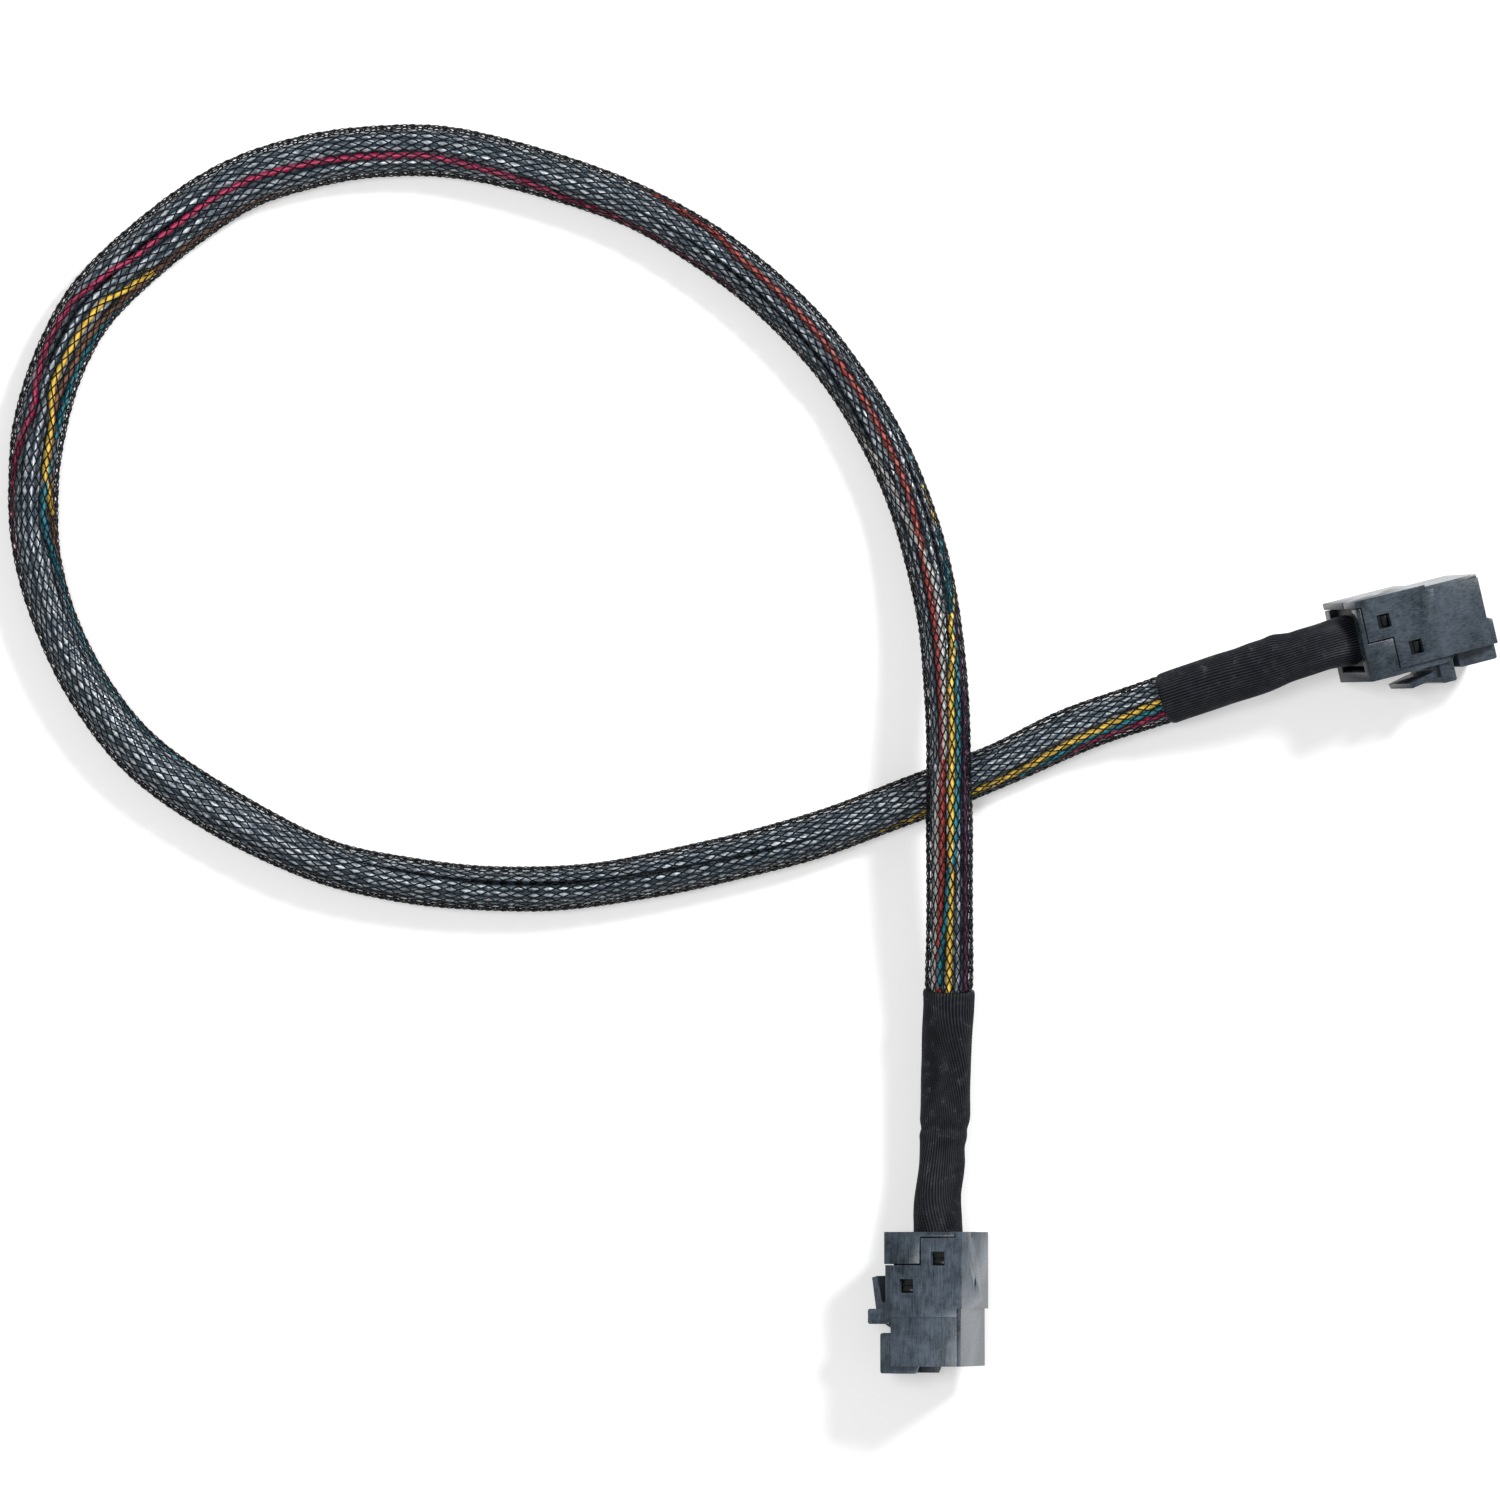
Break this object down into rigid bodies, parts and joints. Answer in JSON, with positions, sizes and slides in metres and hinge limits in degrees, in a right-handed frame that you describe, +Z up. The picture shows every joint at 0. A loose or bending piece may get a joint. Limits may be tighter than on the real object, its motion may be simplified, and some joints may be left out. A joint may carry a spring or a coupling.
{
  "type": "mini sas hd cable",
  "caption": "Internal data cable with a latching rectangular plug at each end, ribbed heat-shrink and an open braided sleeve over ribbons and thin wires, laid in one loop.",
  "frame": {"origin": "on the table, under the middle of the box around the two plugs", "axes": "+Z up from the table, +Y opposite to the mating direction of plug A, +X towards plug B's side"},
  "size_m": [0.2159, 0.1814, 0.0184],
  "materials": {
    "front_housing_plastic": "moulded black plastic with a fine lengthwise grain",
    "rear_housing_plastic": "moulded black plastic, a little darker than the front housing",
    "paddle_card": "green printed circuit board with gold pads",
    "wire_moulding": "dark hot-melt moulding",
    "heat_shrink": "black heat-shrink tube with fine lengthwise ribs",
    "braid": "black monofilament in an open diamond braid",
    "twinax_jacket": "blue-grey film over foil, with a silver sheen",
    "orange_insulation": "smooth wire insulation",
    "yellow_insulation": "smooth wire insulation",
    "teal_insulation": "smooth wire insulation",
    "purple_insulation": "smooth wire insulation",
    "crimson_insulation": "smooth wire insulation",
    "brown_insulation": "smooth wire insulation",
    "blue_insulation": "smooth wire insulation",
    "white_insulation": "smooth wire insulation"
  },
  "bodies": {
    "root": {"plug_a_front_housing": "front_housing_plastic", "plug_a_rear_housing": "rear_housing_plastic", "plug_a_latch_side_paddle_card": "paddle_card", "plug_a_plain_side_paddle_card": "paddle_card", "plug_a_wire_moulding": "wire_moulding", "plug_a_heat_shrink": "heat_shrink", "plug_b_front_housing": "front_housing_plastic", "plug_b_rear_housing": "rear_housing_plastic", "plug_b_latch_side_paddle_card": "paddle_card", "plug_b_plain_side_paddle_card": "paddle_card", "plug_b_wire_moulding": "wire_moulding", "plug_b_heat_shrink": "heat_shrink", "braided_sleeve": "braid", "twinax_ribbon_1": "twinax_jacket", "twinax_ribbon_2": "twinax_jacket", "twinax_ribbon_3": "twinax_jacket", "twinax_ribbon_4": "twinax_jacket", "orange_wire": "orange_insulation", "yellow_wire": "yellow_insulation", "teal_wire": "teal_insulation", "purple_wire": "purple_insulation", "crimson_wire": "crimson_insulation", "brown_wire": "brown_insulation", "blue_wire": "blue_insulation", "white_wire": "white_insulation"}
  },
  "joints": []
}
